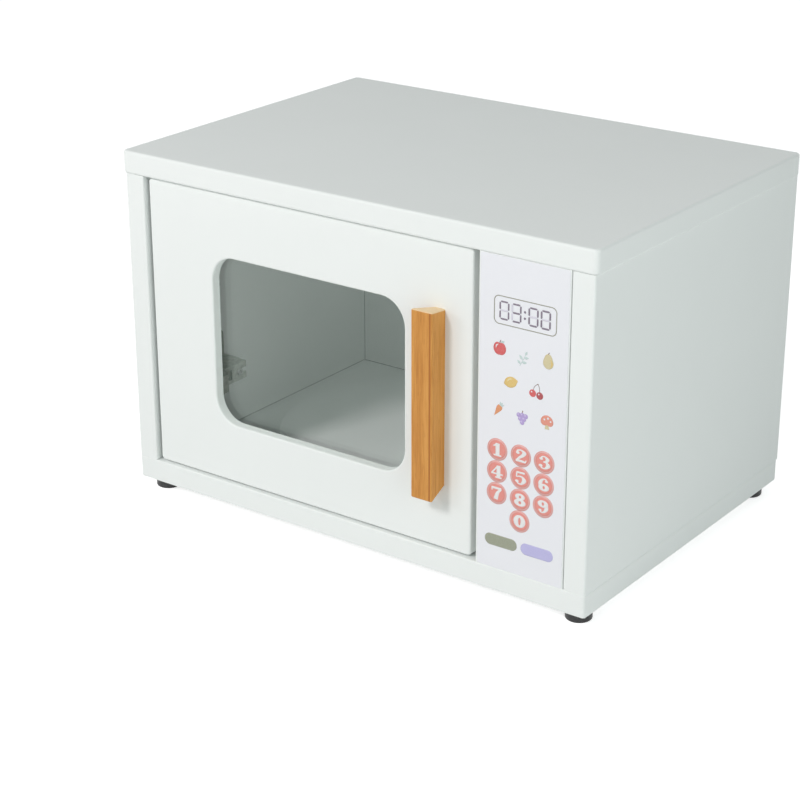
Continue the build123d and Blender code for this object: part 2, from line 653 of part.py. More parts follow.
# Centre links: one hooked bar each, with a slot round the arm pin.
SLOT_RUN = Vector(*ARM_PIN_CENTRE) - Vector(*CUP_PIN_CENTRE)
SLOT_ANGLE = math.degrees(math.atan2(SLOT_RUN.Y, SLOT_RUN.X))
for hinge, z in HINGES.items():
    slot_end = Location((*near(ARM_PIN_CENTRE), 0), (0, 0, SLOT_ANGLE))
    with BuildPart() as inner_link:
        with BuildSketch(Plane.XY.offset(z - CENTRE_HALF)):
            hook(ARM_PIN_CENTRE, BEND_CENTRE, CUP_PIN_CENTRE)
            with Locations(slot_end):
                SlotCenterToCenter(SLOT_TRAVEL, 2 * (SLOT_RADIUS + SLOT_WALL))
                SlotCenterToCenter(SLOT_TRAVEL, 2 * SLOT_RADIUS, mode=Mode.SUBTRACT)
            with Locations(near(CUP_PIN_CENTRE)):
                Circle(PIN_RADIUS + RUNNING, mode=Mode.SUBTRACT)
        extrude(amount=2 * CENTRE_HALF)
    save(inner_link, f"{hinge}_inner_link")

# Mounting plates: a raised bar under the arm, with a screwed wing above and below it.
for hinge, z in HINGES.items():
    with BuildPart() as hinge_plate:
        block(
            (INNER_LEFT, INNER_LEFT + PLATE_HEIGHT),
            (FRONT + PLATE_FRONT, FRONT + PLATE_REAR),
            (z - PLATE_HALF, z + PLATE_HALF),
        )
        with BuildSketch(Plane.YZ.offset(INNER_LEFT)):
            with Locations((WING_MIDDLE, z)):
                RectangleRounded(WING_REAR - WING_FRONT, WING_SPAN, (WING_REAR - WING_FRONT) / 3)
        extrude(amount=WING_THICKNESS)
        drill(WING_SCREWS, WING_SCREW[2] + HOLE_EASE, WING_THICKNESS)
        drill(ARM_SCREW_SEATS, ARM_SCREW[2] + HOLE_EASE, ARM_SCREW[3])
    save(hinge_plate, f"{hinge}_hinge_plate")

with BuildPart() as hinge_plate_screws:
    screws(WING_SCREWS, WING_SCREW)
save(hinge_plate_screws, "hinge_plate_screws")

# Arms: a folded channel whose cheeks carry the two arm pins at its nose. One screw is reached
# through a window in the web, and the other clamps the web in a slot that is open to the rear.
ARM_OPEN_X = BOARD + PLATE_HEIGHT
ARM_WEB_X = BOARD + ARM_HEIGHT
ARM_NOSE_X = ARM_PIN_CENTRE[0] + ARM_NOSE
ARM_SLOT_HALF = ARM_SCREW[2] + HOLE_EASE
WEB_LINE = [
    near((ARM_WEB_X, ARM_REAR)),
    near((ARM_WEB_X, ARM_CRANK)),
    near((ARM_NOSE_X, ARM_PIN_CENTRE[1] + ARM_SHOULDER)),
    near((ARM_NOSE_X, ARM_PIN_CENTRE[1] - ARM_TIP)),
]
OPEN_LINE = [
    near((ARM_PIN_FORK[0] - ARM_TIP, ARM_PIN_CENTRE[1] - ARM_TIP)),
    near((ARM_PIN_FORK[0] - ARM_TIP, ARM_PIN_FORK[1] + ARM_TIP)),
    near((ARM_OPEN_X, PLATE_FRONT)),
    near((ARM_OPEN_X, ARM_REAR)),
]
for hinge, z in HINGES.items():
    with BuildPart() as hinge_arm:
        for low in (z - ARM_HALF, z + ARM_HALF - ARM_SHEET):
            with BuildSketch(Plane.XY.offset(low)):
                with BuildLine():
                    Polyline(*WEB_LINE, *OPEN_LINE, close=True)
                make_face()
                with Locations(*ARM_PINS):
                    Circle(PIN_RADIUS + HOLE_EASE, mode=Mode.SUBTRACT)
            extrude(amount=ARM_SHEET)
        with BuildSketch(Plane.XY.offset(z - ARM_HALF)):
            with BuildLine():
                Polyline(*WEB_LINE, *OPEN_LINE, close=True)
            make_face()
            with BuildLine(mode=Mode.PRIVATE) as web_line:
                Polyline(*WEB_LINE)
            trace(web_line.line, line_width=2 * ARM_SHEET, mode=Mode.INTERSECT)
        extrude(amount=2 * ARM_HALF)
        with BuildSketch(Plane.YZ.offset(INNER_LEFT + ARM_HEIGHT)):
            with Locations((FRONT + (ARM_WINDOW_FRONT + ARM_WINDOW_REAR) / 2, z)):
                Rectangle(ARM_WINDOW_REAR - ARM_WINDOW_FRONT, 2 * ARM_WINDOW_HALF)
            with Locations((FRONT + LOCKING_SCREW, z)):
                Circle(ARM_SLOT_HALF)
            with Locations((FRONT + (LOCKING_SCREW + ARM_REAR) / 2, z)):
                Rectangle(ARM_REAR - LOCKING_SCREW, 2 * ARM_SLOT_HALF)
        extrude(amount=-2 * ARM_SHEET, mode=Mode.SUBTRACT)
    save(hinge_arm, f"{hinge}_hinge_arm")

with BuildPart() as hinge_arm_screws:
    screws(ARM_SCREW_SEATS, ARM_SCREW)
save(hinge_arm_screws, "hinge_arm_screws")

# Arm pins, riveted over outside the cheeks.
with BuildPart() as hinge_arm_pins:
    for z in HINGES.values():
        with BuildSketch(Plane.XY.offset(z - ARM_HALF)):
            with Locations(*ARM_PINS):
                Circle(PIN_RADIUS)
        extrude(amount=2 * ARM_HALF)
        for low in (z - ARM_HALF - ARM_PIN_HEAD, z + ARM_HALF):
            with BuildSketch(Plane.XY.offset(low)):
                with Locations(*ARM_PINS):
                    Circle(ARM_PIN_HEAD_RADIUS)
            extrude(amount=ARM_PIN_HEAD)
save(hinge_arm_pins, "hinge_arm_pins")
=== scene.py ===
import math

import bmesh
import bpy
import numpy as np
from mathutils import Matrix, Vector


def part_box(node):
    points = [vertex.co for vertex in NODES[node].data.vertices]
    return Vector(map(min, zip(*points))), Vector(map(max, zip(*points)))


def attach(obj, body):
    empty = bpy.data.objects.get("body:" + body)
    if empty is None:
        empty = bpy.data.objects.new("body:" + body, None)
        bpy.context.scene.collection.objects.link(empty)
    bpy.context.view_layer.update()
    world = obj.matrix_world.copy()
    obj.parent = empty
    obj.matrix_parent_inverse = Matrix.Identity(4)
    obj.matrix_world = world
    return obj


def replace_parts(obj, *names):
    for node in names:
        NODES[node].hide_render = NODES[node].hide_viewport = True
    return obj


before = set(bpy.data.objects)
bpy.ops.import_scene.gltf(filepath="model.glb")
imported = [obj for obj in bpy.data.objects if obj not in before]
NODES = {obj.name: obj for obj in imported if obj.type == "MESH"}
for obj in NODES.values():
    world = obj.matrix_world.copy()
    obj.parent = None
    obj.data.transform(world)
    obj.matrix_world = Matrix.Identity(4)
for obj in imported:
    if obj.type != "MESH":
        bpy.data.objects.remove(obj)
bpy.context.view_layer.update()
MM = 0.001

# Camera: in front of the toy, to its right and a little above, at the photograph's angle.
# The main lamp stands high in front and a little left, a weak one lower to its left, and a
# third near the toy's right side.
CAMERA_PLACE = (0.868, -1.256, 0.701)
CAMERA_YAW = math.radians(36.25)
CAMERA_DOWN = math.radians(22.15)
CAMERA_ROLL = math.radians(-0.11)
CAMERA_LENS = 93.3
CAMERA_NEAR = 0.05
CAMERA_FAR = 50
camera_data = bpy.data.cameras.new("camera")
camera_data.lens = CAMERA_LENS
camera_data.clip_start = CAMERA_NEAR
camera_data.clip_end = CAMERA_FAR
camera = bpy.data.objects.new("camera", camera_data)
camera.location = CAMERA_PLACE
camera.rotation_euler = (
    Matrix.Rotation(CAMERA_YAW, 3, "Z")
    @ Matrix.Rotation(math.pi / 2 - CAMERA_DOWN, 3, "X")
    @ Matrix.Rotation(CAMERA_ROLL, 3, "Z")
).to_euler()
bpy.context.scene.collection.objects.link(camera)
bpy.context.scene.camera = camera
bpy.context.scene.view_settings.view_transform = "Standard"

TOY_MIDDLE = Vector((0, 0, 0.14))


def softbox(name, towards, distance, width, height, watts, colour):
    """A rectangular lamp that stands in a direction from the toy and faces it."""
    lamp = bpy.data.lights.new(name, "AREA")
    lamp.shape = "RECTANGLE"
    lamp.size = width
    lamp.size_y = height
    lamp.energy = watts
    lamp.color = colour
    stand = bpy.data.objects.new(name, lamp)
    direction = Vector(towards).normalized()
    stand.location = TOY_MIDDLE + direction * distance
    stand.rotation_euler = direction.to_track_quat("Z", "Y").to_euler()
    bpy.context.scene.collection.objects.link(stand)


softbox("key_lamp", (-0.21, -0.79, 0.6), 2.3, 0.45, 0.45, 19, (1.0, 0.962, 0.965))
softbox("left_lamp", (-0.62, -0.74, 0.3), 2.3, 0.5, 0.5, 6, (1.0, 0.962, 0.965))
softbox("right_lamp", (1.0, -0.42, 0.3), 1.3, 0.8, 0.8, 3.7, (0.97, 1.0, 1.0))


# Room: a wide plain floor of pale board under a white sky. Both look plain white to the camera
# and in reflections, and the floor keeps the toy's shadow.
SKY_COLOUR = (0.935, 1.0, 0.99)
SKY_STRENGTH = 0.345
FLOOR_REACH = 12.0
FLOOR_COLOUR = (0.80, 0.81, 0.80)
FLOOR_SEEN_COLOUR = (0.97, 0.97, 0.97)
FLOOR_SEEN_GLOW = 0.66
FLOOR_ROUGHNESS = 0.9


class Wire:
    """A value, colour or vector on its way through a material's nodes.
    Arithmetic on it adds Math nodes, and `node` adds any other node behind it."""

    def __init__(self, tree, socket):
        self.tree = tree
        self.socket = socket

    def node(self, kind, settings, sockets, output=0):
        """A new node's output: the settings are set first, then each socket's value or wire."""
        made = self.tree.nodes.new(kind)
        for key, value in settings.items():
            setattr(made, key, value)
        for key, value in sockets.items():
            if isinstance(value, Wire):
                self.tree.links.new(value.socket, made.inputs[key])
            else:
                made.inputs[key].default_value = value
        return Wire(self.tree, made.outputs[output])

    def math(self, operation, *values):
        return self.node("ShaderNodeMath", {"operation": operation}, dict(enumerate(values)))

    def __add__(self, other):
        return self.math("ADD", self, other)

    def __radd__(self, other):
        return self.math("ADD", other, self)

    def __sub__(self, other):
        return self.math("SUBTRACT", self, other)

    def __rsub__(self, other):
        return self.math("SUBTRACT", other, self)

    def __mul__(self, other):
        return self.math("MULTIPLY", self, other)

    def __rmul__(self, other):
        return self.math("MULTIPLY", other, self)

    def step(self, low, high):
        """0 below low, 1 above high, and smooth between."""
        return self.node(
            "ShaderNodeMapRange",
            {"interpolation_type": "SMOOTHSTEP"},
            {"Value": self, "From Min": low, "From Max": high},
        )

    def axes(self):
        """The x, y and z of this place."""
        split = self.node("ShaderNodeSeparateXYZ", {}, {"Vector": self})
        return [Wire(self.tree, output) for output in split.socket.node.outputs]

    def stretched(self, x, y, z):
        """This place with each axis multiplied."""
        return self.node("ShaderNodeVectorMath", {"operation": "MULTIPLY"}, {0: self, 1: (x, y, z)})

    def noise(self, scale, detail):
        """A cloudy value from 0 to 1 at this place, with so many lumps to the metre."""
        return self.node("ShaderNodeTexNoise", {}, {"Vector": self, "Scale": scale, "Detail": detail})

    def blend(self, low, high):
        """The colour low where this value is 0 and high where it is 1."""
        return self.node(
            "ShaderNodeMix",
            {"data_type": "RGBA"},
            {0: self, 6: low if isinstance(low, Wire) else (*low, 1), 7: (*high, 1)},
            output=2,
        )

    def relief(self, depth):
        """The surface's direction where it is raised by this value times depth."""
        return self.node("ShaderNodeBump", {}, {"Height": self, "Distance": depth})


def new_finish(name):
    """A new material, its shader, and the place on the piece as a wire."""
    material = bpy.data.materials.new(name)
    material.use_nodes = True
    tree = material.node_tree
    place = Wire(tree, tree.nodes.new("ShaderNodeTexCoord").outputs["Object"])
    return material, tree.nodes["Principled BSDF"], place


def set_finish(shader, values):
    """Fills the shader's sockets with values and wires."""
    for key, value in values.items():
        if isinstance(value, Wire):
            value.tree.links.new(value.socket, shader.inputs[key])
        else:
            shader.inputs[key].default_value = value


def seen_rays(wire):
    """1 for rays from the camera, from a mirror or through glass, else 0."""
    path = wire.node("ShaderNodeLightPath", {}, {})
    tree_node = path.socket.node
    glossy = Wire(wire.tree, tree_node.outputs["Is Glossy Ray"])
    through = Wire(wire.tree, tree_node.outputs["Is Transmission Ray"])
    return path.math("MAXIMUM", path.math("MAXIMUM", path, glossy), through)


world = bpy.data.worlds.new("sky")
world.use_nodes = True
bpy.context.scene.world = world
sky = world.node_tree.nodes["Background"]
sky_wire = Wire(world.node_tree, None)
sky_seen = seen_rays(sky_wire)
sky_colour = sky_seen.blend(tuple(SKY_STRENGTH * c for c in SKY_COLOUR), (1.0, 1.0, 1.0))
world.node_tree.links.new(sky_colour.socket, sky.inputs["Color"])
sky.inputs["Strength"].default_value = 1.0

floor_mesh = bpy.data.meshes.new("floor")
reach = FLOOR_REACH
floor_mesh.from_pydata(
    [(-reach, -reach, 0), (reach, -reach, 0), (reach, reach, 0), (-reach, reach, 0)], [], [(0, 1, 2, 3)]
)
floor = bpy.data.objects.new("floor", floor_mesh)
bpy.context.scene.collection.objects.link(floor)
floor_finish, floor_shader, floor_place = new_finish("pale floor")
floor_seen = seen_rays(floor_place)
set_finish(
    floor_shader,
    {
        "Base Color": floor_seen.blend(FLOOR_COLOUR, FLOOR_SEEN_COLOUR),
        "Roughness": FLOOR_ROUGHNESS,
        "Emission Color": floor_seen.blend((0, 0, 0), (1, 1, 1)),
        "Emission Strength": FLOOR_SEEN_GLOW,
        "Specular IOR Level": 0.0,
    },
)
floor_mesh.materials.append(floor_finish)


# Boards: the box, its partition and the door are cut from one fibreboard, sanded round at the
# edges and sprayed with white satin lacquer, which leaves a faint orange peel.
LACQUER_COLOUR = (0.892, 0.925, 0.910)
LACQUER_THIN_COLOUR = (0.885, 0.918, 0.903)
LACQUER_ROUGHNESS = 0.5
LACQUER_IOR = 1.4
COAT_LUMPS = 14
PEEL_LUMPS = 650
WIDE_PEEL_LUMPS = 160
SHINE_LUMPS = 220
SHINE_CHANGE = 0.12
PEEL_DEPTH = 0.006 * MM
# Painted shade in the cavity's grooves: its colour, the band's width and its soft edge.
SEAM_SHADE_COLOUR = (0.28, 0.30, 0.29)
SEAM_HEIGHT = 0.9 * MM
SEAM_FADE = 0.05 * MM
BOARDS = [
    "base_board", "left_side_board", "right_side_board", "back_board", "inner_partition",
    "control_panel_board", "top_board", "door_board",
]


def dress(material, *nodes):
    """Gives the carried-over nodes their finish."""
    for node in nodes:
        slots = NODES[node].data.materials
        slots.clear()
        slots.append(material)


def between(value, low, high):
    """1 from low to high, and 0 from a hair outside them."""
    return (value - low).step(-SEAM_FADE, 0) * (high - value).step(-SEAM_FADE, 0)


def seam_shade(place):
    """1 in the grooves round the cavity's floor and up its two back corners, where shade is painted
    into the colour: bands by height, by depth and by the distance sideways from the cavity's middle."""
    across, depth, height = place.axes()
    floor_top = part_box("base_board")[1].z
    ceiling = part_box("top_board")[0].z
    pane_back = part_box("window_pane")[1].y
    back_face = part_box("back_board")[0].y
    left_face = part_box("left_side_board")[1].x
    right_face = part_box("inner_partition")[0].x
    half_width = (right_face - left_face) / 2
    offset = across - (left_face + right_face) / 2
    side = offset.math("ABSOLUTE", offset)
    floor_seam_shade = between(height, floor_top + SEAM_FADE, floor_top + SEAM_HEIGHT) * (
        between(side, 0, half_width + SEAM_HEIGHT) * between(depth, pane_back, back_face + SEAM_HEIGHT)
    )
    corner_seam_shade = between(depth, back_face + SEAM_FADE, back_face + SEAM_HEIGHT) * (
        between(side, half_width - SEAM_HEIGHT, half_width) * between(height, floor_top, ceiling)
    )
    return floor_seam_shade.math("MAXIMUM", floor_seam_shade, corner_seam_shade)


def lacquer(name, colour, thin_colour, roughness):
    """Sprayed paint: a fine orange peel over broad, faint changes of thickness, and shade painted into the
    cavity's grooves.
    """
    material, shader, place = new_finish(name)
    thickness = place.noise(COAT_LUMPS, 3)
    peel = place.noise(PEEL_LUMPS, 1) + place.noise(WIDE_PEEL_LUMPS, 1) * 0.6
    painted = thickness.step(0.3, 0.7).blend(thin_colour, colour)
    set_finish(
        shader,
        {
            # Painted shade: the grooves round the cavity's floor and up its back corners are darkened in the
            # base colour.
            "Base Color": seam_shade(place).blend(painted, SEAM_SHADE_COLOUR),
            "Roughness": place.noise(SHINE_LUMPS, 2) * SHINE_CHANGE + (roughness - SHINE_CHANGE / 2),
            "Normal": peel.relief(PEEL_DEPTH),
            "IOR": LACQUER_IOR,
        },
    )
    return material


dress(lacquer("white lacquer", LACQUER_COLOUR, LACQUER_THIN_COLOUR, LACQUER_ROUGHNESS), *BOARDS)


# Dowels: round pegs of plain beech glued into the uprights' ends, hidden once the box is built.
BEECH_COLOUR = (0.60, 0.40, 0.24)
BEECH_DARK_COLOUR = (0.45, 0.28, 0.15)
beech, beech_shader, beech_place = new_finish("beech")
beech_grain = beech_place.stretched(1, 1, 0.08).noise(900, 3)
set_finish(
    beech_shader,
    {
        "Base Color": beech_grain.step(0.35, 0.65).blend(BEECH_DARK_COLOUR, BEECH_COLOUR),
        "Roughness": 0.6,
        "Normal": beech_grain.relief(0.05 * MM),
    },
)
dress(beech, "board_dowels")


# Feet: short stubs of black moulded rubber, each pulled up by one screw in its pocket.
FOOT_COLOUR = (0.012, 0.012, 0.013)
FOOT_WORN_COLOUR = (0.035, 0.035, 0.037)
rubber, rubber_shader, rubber_place = new_finish("black rubber")
rubber_speck = rubber_place.noise(900, 3)
set_finish(
    rubber_shader,
    {
        "Base Color": rubber_speck.step(0.45, 0.75).blend(FOOT_COLOUR, FOOT_WORN_COLOUR),
        "Roughness": rubber_place.noise(150, 2) * 0.2 + 0.32,
        "Normal": rubber_speck.relief(0.04 * MM),
    },
)
dress(rubber, "front_left_foot", "front_right_foot", "back_left_foot", "back_right_foot")


# Screws: zinc plated steel with pan heads, a cross recess and rolled threads. They hold the
# feet, the pane, the handle, the hinges and the turntable.
ZINC_COLOUR = (0.56, 0.56, 0.55)
ZINC_DULL_COLOUR = (0.40, 0.41, 0.41)
ZINC_ROUGHNESS = 0.3
HEAD_STEPS = 22
TURN_STEPS = 72
RECESS_REACH = 0.62
RECESS_WIDTH = 0.15
RECESS_DEPTH = 0.62
RECESS_WALL_SLOPE = 0.07
RECESS_END_SLOPE = 0.2
HEAD_CROWN = 0.12
HEAD_TOP_SHARE = 0.8
HEAD_RIM = 0.2
THREAD_DEPTH = 0.22
THREAD_STEPS = 8
SMOOTH_ANGLE = 35
MERGE_DISTANCE = 0.002 * MM
SCREW_FIRST_TURN = 0.4
SCREW_NEXT_TURN = 2.4


def steel(name, bright, dull, roughness):
    """Plated steel: a metal whose plating is a little cloudy and finely brushed."""
    material, shader, place = new_finish(name)
    cloud = place.noise(240, 3)
    set_finish(
        shader,
        {
            "Base Color": cloud.step(0.3, 0.7).blend(dull, bright),
            "Metallic": 1.0,
            "Roughness": place.noise(500, 3) * 0.22 + (roughness - 0.1),
            "Normal": place.noise(1800, 2).relief(0.01 * MM),
        },
    )
    return material


zinc = steel("zinc plate", ZINC_COLOUR, ZINC_DULL_COLOUR, ZINC_ROUGHNESS)


def quads(rows, columns, first):
    """The four-sided faces of a grid of points: each joins a point to its next neighbours."""
    row = np.arange(rows - 1)[:, None] * columns
    column = np.arange(columns - 1)[None, :]
    corner = first + row + column
    return np.stack([corner, corner + 1, corner + columns + 1, corner + columns], -1).reshape(-1, 4)


def build_piece(name, surfaces, body):
    """One piece from grids of points with their materials. Points that meet at seams and
    poles are merged, and the faces are turned outwards."""
    points = np.concatenate([grid.reshape(-1, 3) for grid, _ in surfaces])
    starts = np.cumsum([0] + [grid.shape[0] * grid.shape[1] for grid, _ in surfaces])
    faces = [quads(*grid.shape[:2], start) for (grid, _), start in zip(surfaces, starts)]
    materials = list(dict.fromkeys(material for _, material in surfaces))
    mesh = bpy.data.meshes.new(name)
    mesh.from_pydata(points.tolist(), [], np.concatenate(faces).tolist())
    slots = np.concatenate(
        [np.full(len(part), materials.index(material)) for part, (_, material) in zip(faces, surfaces)]
    )
    mesh.polygons.foreach_set("material_index", slots.astype(np.int32))
    for material in materials:
        mesh.materials.append(material)
    shaped = bmesh.new()
    shaped.from_mesh(mesh)
    bmesh.ops.remove_doubles(shaped, verts=shaped.verts, dist=MERGE_DISTANCE)
    bmesh.ops.recalc_face_normals(shaped, faces=shaped.faces)
    shaped.to_mesh(mesh)
    shaped.free()
    mesh.shade_smooth()
    mesh.set_sharp_from_angle(angle=math.radians(SMOOTH_ANGLE))
    piece = bpy.data.objects.new(name, mesh)
    bpy.context.scene.collection.objects.link(piece)
    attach(piece, body)
    return piece


def screw_shape(head_radius, head_height, shank_radius, length, pitch, twist):
    """A screw along +Z with its head's seat at 0. Radius and height are functions of the step
    along the profile and of the angle: a domed head whose top drops where the cross recess is,
    and a shank whose radius follows a ridge that climbs one pitch a turn, then closes to a point."""
    angle = np.linspace(0, 2 * np.pi, TURN_STEPS + 1)[None, :] + twist
    out = np.linspace(0, HEAD_TOP_SHARE, HEAD_STEPS)[:, None]
    across = np.abs(out * np.cos(angle - twist))
    along = np.abs(out * np.sin(angle - twist))
    narrow = np.minimum(across, along)
    reach = np.maximum(across, along)
    sides = np.clip((RECESS_WIDTH - narrow) / RECESS_WALL_SLOPE, 0, 1)
    ends = np.clip((RECESS_REACH - reach) / RECESS_END_SLOPE, 0, 1)
    top_radius = head_radius * out + 0 * angle
    top_height = head_height * (1 - HEAD_CROWN * out**2 - RECESS_DEPTH * sides * ends)
    bend = np.linspace(0, np.pi / 2, 8)[1:, None]
    side_radius = head_radius * (HEAD_TOP_SHARE + (1 - HEAD_TOP_SHARE) * np.sin(bend)) + 0 * angle
    top_edge = 1 - HEAD_CROWN * HEAD_TOP_SHARE**2
    side_height = head_height * (HEAD_RIM + (top_edge - HEAD_RIM) * np.cos(bend)) + 0 * angle
    seat_radius = np.array([[head_radius], [shank_radius]]) + 0 * angle
    seat_height = np.zeros_like(seat_radius)
    turns = length / pitch
    down = np.linspace(0, length, int(turns * THREAD_STEPS) + 2)[:, None]
    wave = np.abs(((down / pitch + angle / (2 * np.pi)) % 1) * 2 - 1)
    point = np.clip((length - down) / (2 * shank_radius), 0, 1)
    shank = shank_radius * (1 - THREAD_DEPTH * wave) * point
    radius = np.concatenate([top_radius, side_radius, seat_radius, shank])
    height = np.concatenate([top_height, side_height, seat_height, -down + 0 * angle])
    return np.stack([radius * np.cos(angle), radius * np.sin(angle), height], -1)


def solids(node):
    """Lowest and highest corner of each loose solid of a node. Every point takes the smallest
    label among the triangles it shares until no label changes."""
    mesh = NODES[node].data
    mesh.calc_loop_triangles()
    points = np.empty(len(mesh.vertices) * 3)
    mesh.vertices.foreach_get("co", points)
    points = points.reshape(-1, 3)
    corners = np.empty(len(mesh.loop_triangles) * 3, np.int64)
    mesh.loop_triangles.foreach_get("vertices", corners)
    _, same = np.unique((points / (0.001 * MM)).round().astype(np.int64), axis=0, return_inverse=True)
    triangles = same.reshape(-1)[corners].reshape(-1, 3)
    label = np.arange(same.max() + 1)
    while True:
        least = label[triangles].min(1)
        before = label.copy()
        np.minimum.at(label, triangles.ravel(), np.repeat(least, 3))
        if (before == label).all():
            break
    owner = label[same.reshape(-1)]
    return [(points[owner == k].min(0), points[owner == k].max(0)) for k in np.unique(owner)]


def fit_screws(node, axis, body, head_height, shank_radius, pitch):
    """Threaded screws in place of a node's plain ones: seat, head and length come from each
    solid's box, and every screw is turned to another angle."""
    turn = Vector(axis).to_track_quat("Z", "Y").to_matrix()
    direction = np.array(axis, float)
    shapes = []
    for count, (low, high) in enumerate(solids(node)):
        size = high - low
        head_radius = np.median(size) / 2
        length = size.max() - head_height * MM
        seat = (low + high) / 2 + direction * (size.max() / 2 - head_height * MM)
        twist = SCREW_FIRST_TURN + SCREW_NEXT_TURN * count
        shape = screw_shape(head_radius, head_height * MM, shank_radius * MM, length, pitch * MM, twist)
        shapes.append((shape @ np.array(turn).T + seat, zinc))
    piece = build_piece(node + "_threaded", shapes, body)
    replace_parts(piece, node)


fit_screws("foot_screws", (0, 0, -1), "cabinet", head_height=2.5, shank_radius=2.0, pitch=1.6)


# Turntable: a lacquered fibreboard disc with a nylon bush pressed into its middle. It turns on
# a nylon washer, round one screw in the base.
TURNTABLE_COLOUR = (0.905, 0.940, 0.924)
TURNTABLE_THIN_COLOUR = (0.898, 0.933, 0.917)
TURNTABLE_ROUGHNESS = 0.36
NYLON_COLOUR = (0.72, 0.71, 0.66)
NYLON_DEEP_COLOUR = (0.64, 0.63, 0.58)
plate_lacquer = lacquer(
    "turntable lacquer", TURNTABLE_COLOUR, TURNTABLE_THIN_COLOUR, TURNTABLE_ROUGHNESS
)
dress(plate_lacquer, "turntable_plate")
nylon, nylon_shader, nylon_place = new_finish("natural nylon")
set_finish(
    nylon_shader,
    {
        "Base Color": nylon_place.noise(180, 2).blend(NYLON_DEEP_COLOUR, NYLON_COLOUR),
        "Roughness": 0.45,
        "Normal": nylon_place.noise(1200, 2).relief(0.01 * MM),
    },
)
dress(nylon, "turntable_washer", "turntable_bush")
fit_screws("turntable_pivot_screw", (0, 0, 1), "cabinet", head_height=2.4, shank_radius=2.5, pitch=1.8)


# Bumpers: two clear stick-on pads of soft plastic, domed by surface tension as they were cast.
PAD_COLOUR = (0.80, 0.82, 0.82)
PAD_PALE_COLOUR = (0.88, 0.90, 0.90)
PAD_STEPS_OUT = 15
PAD_STEPS_ROUND = 49
pad_finish, pad_shader, pad_place = new_finish("clear soft plastic")
set_finish(
    pad_shader,
    {
        "Base Color": pad_place.noise(300, 2).blend(PAD_COLOUR, PAD_PALE_COLOUR),
        "Roughness": 0.12,
        "Alpha": pad_place.noise(500, 2) * 0.1 + 0.35,
        "IOR": 1.46,
    },
)


def pad_shape(low, high):
    """A dome on a flat back: the height over the back falls as a power of the distance out."""
    angle = np.linspace(0, 2 * np.pi, PAD_STEPS_ROUND)[None, :]
    out = np.linspace(0, 1, PAD_STEPS_OUT)[:, None]
    rise = (1 - out**4) ** 0.5
    radius = (high[0] - low[0]) / 2
    middle = (low + high) / 2
    dome = np.stack(
        [
            middle[0] + radius * out * np.cos(angle),
            high[1] - (high[1] - low[1]) * rise + 0 * angle,
            middle[2] + radius * out * np.sin(angle),
        ],
        -1,
    )
    back = dome.copy()
    back[..., 1] = high[1]
    return [(dome, pad_finish), (back, pad_finish)]


pads = [surface for low, high in solids("door_bumpers") for surface in pad_shape(low, high)]
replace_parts(build_piece("bumper_domes", pads, "cabinet"), "door_bumpers")


# Panel film: a satin vinyl sheet stuck on the panel board, printed with a clock, pictures of
# food, ten number keys and two blank buttons.
FILM_COLOUR = (0.86, 0.87, 0.91)
FILM_SHADE_COLOUR = (0.85, 0.86, 0.90)
film, film_shader, film_place = new_finish("satin film")
set_finish(
    film_shader,
    {
        "Base Color": film_place.noise(30, 2).blend(FILM_SHADE_COLOUR, FILM_COLOUR),
        "Roughness": film_place.noise(300, 2) * 0.1 + 0.3,
        "Normal": film_place.noise(900, 2).relief(0.008 * MM),
    },
)
dress(film, "control_panel_film")
FILM_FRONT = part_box("control_panel_film")[0].y
INK_LIFT = 0.03 * MM
LAYER_LIFT = 0.006 * MM
INK_THICKNESS = 0.03 * MM
OUTLINE_STEPS = 48


def ink(name, colour):
    """Printed colour: a flat ink with the faint speckle of its dots."""
    material, shader, place = new_finish(name)
    dots = place.noise(2600, 1)
    paler = tuple(c + (0.8 - c) * 0.16 for c in colour)
    set_finish(
        shader,
        {
            "Base Color": dots.step(0.4, 0.75).blend(colour, paler),
            "Roughness": place.noise(300, 2) * 0.1 + 0.32,
        },
    )
    return material


def smooth_line(points, steps):
    """Points at even steps on the smooth line that passes through all the given rows."""
    rows = np.array(points, float)
    ends = np.concatenate([[2 * rows[0] - rows[1]], rows, [2 * rows[-1] - rows[-2]]])
    run = np.linspace(0, len(rows) - 1, steps)
    piece = np.minimum(run.astype(int), len(rows) - 2)
    t = (run - piece)[:, None]
    a, b, c, d = (ends[piece + shift] for shift in range(4))
    return 0.5 * (2 * b + (c - a) * t + (2 * a - 5 * b + 4 * c - d) * t**2 + (3 * b - a - 3 * c + d) * t**3)


def stroke(rows, steps=OUTLINE_STEPS):
    """A flat band along a line. Each row gives x, z and the half width there."""
    line = smooth_line(rows, steps)
    run = np.gradient(line[:, :2], axis=0)
    side = np.stack([-run[:, 1], run[:, 0]], -1) / np.linalg.norm(run, axis=1)[:, None]
    across = np.linspace(-1, 1, 5)[None, :, None]
    return line[:, None, :2] + side[:, None, :] * across * line[:, None, 2:]


def blob(x, z, radius):
    """A filled outline: points at even steps from the middle out to the radius at each angle."""
    angle = np.linspace(0, 2 * np.pi, OUTLINE_STEPS + 1)[None, :]
    out = np.linspace(0, 1, 6)[:, None] * radius(angle)
    return np.stack([x + out * np.cos(angle), z + out * np.sin(angle)], -1)


def disc(x, z, radius):
    return blob(x, z, lambda angle: radius + 0 * angle)


def ring(x, z, outer, inner):
    """A flat loop between two ellipses, each given by its two half sizes."""
    angle = np.linspace(0, 2 * np.pi, OUTLINE_STEPS + 1)[None, :]
    share = np.linspace(0, 1, 4)[:, None]
    wide = outer[0] * share + inner[0] * (1 - share)
    tall = outer[1] * share + inner[1] * (1 - share)
    return np.stack([x + wide * np.cos(angle), z + tall * np.sin(angle)], -1)


def placed(shape, x, z, scale=1.0, turn=0.0):
    """A flat shape turned by an angle, scaled and moved on the film."""
    cosine, sine = math.cos(turn), math.sin(turn)
    return shape @ np.array([[cosine, sine], [-sine, cosine]]) * scale + (x, z)


